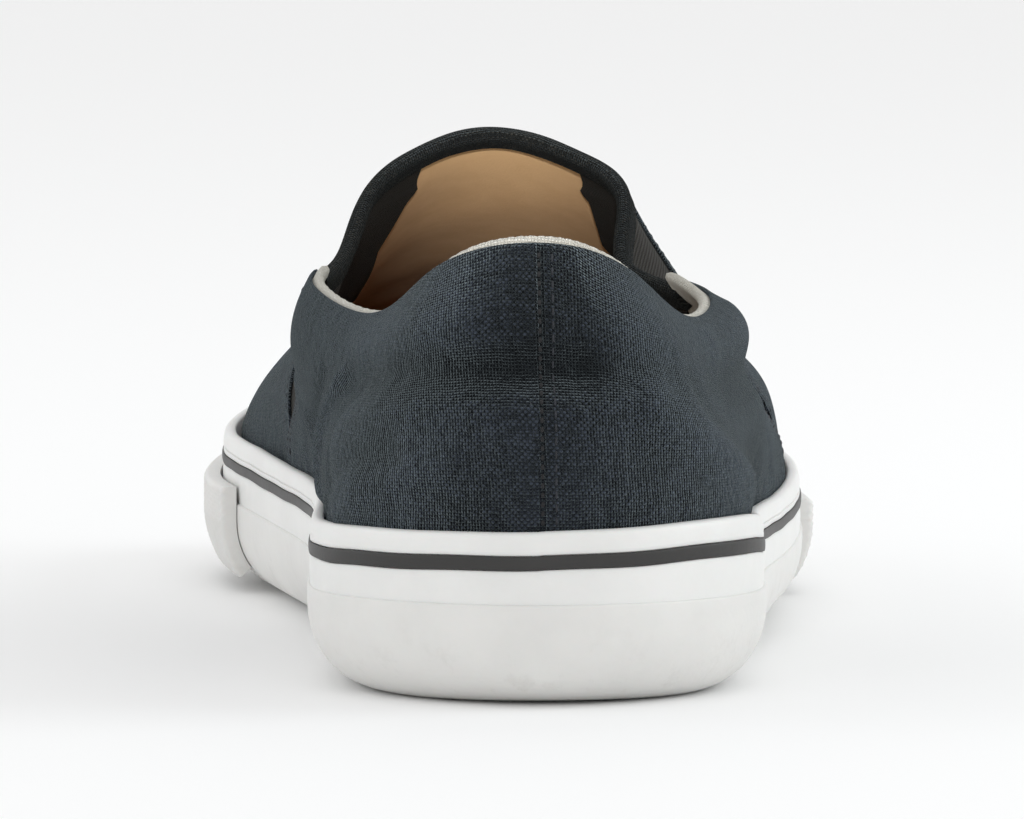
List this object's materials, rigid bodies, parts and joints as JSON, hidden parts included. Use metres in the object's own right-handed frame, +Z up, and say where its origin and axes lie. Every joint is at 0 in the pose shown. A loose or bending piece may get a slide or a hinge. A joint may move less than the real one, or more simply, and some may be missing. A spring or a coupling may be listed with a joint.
{
  "type": "slip-on sneaker",
  "caption": "Low canvas slip-on sneaker for the right foot: padded collar, elastic gores at the throat, bound topline, rubber cup sole with a taped side wall and textured toe strip",
  "frame": {"origin": "middle of the bounding box of the shoe, on the floor it stands on", "axes": "+Y from heel to toe, +X to the outer (lateral) side, +Z up"},
  "size_m": [0.1126, 0.2928, 0.0924],
  "materials": {
    "sole_rubber": "satin",
    "tape_rubber": "satin",
    "stripe_rubber": "satin",
    "canvas": "matt woven",
    "binding_tape": "matt woven",
    "elastic": "matt ribbed",
    "sock_liner": "matt"
  },
  "bodies": {
    "root": {"outsole": "sole_rubber", "foxing": "tape_rubber", "foxing_stripe": "stripe_rubber", "toe_bumper": "sole_rubber", "insole": "sock_liner", "upper": "canvas", "throat_binding": "binding_tape", "gore_lateral": "elastic", "gore_medial": "elastic"}
  },
  "joints": []
}
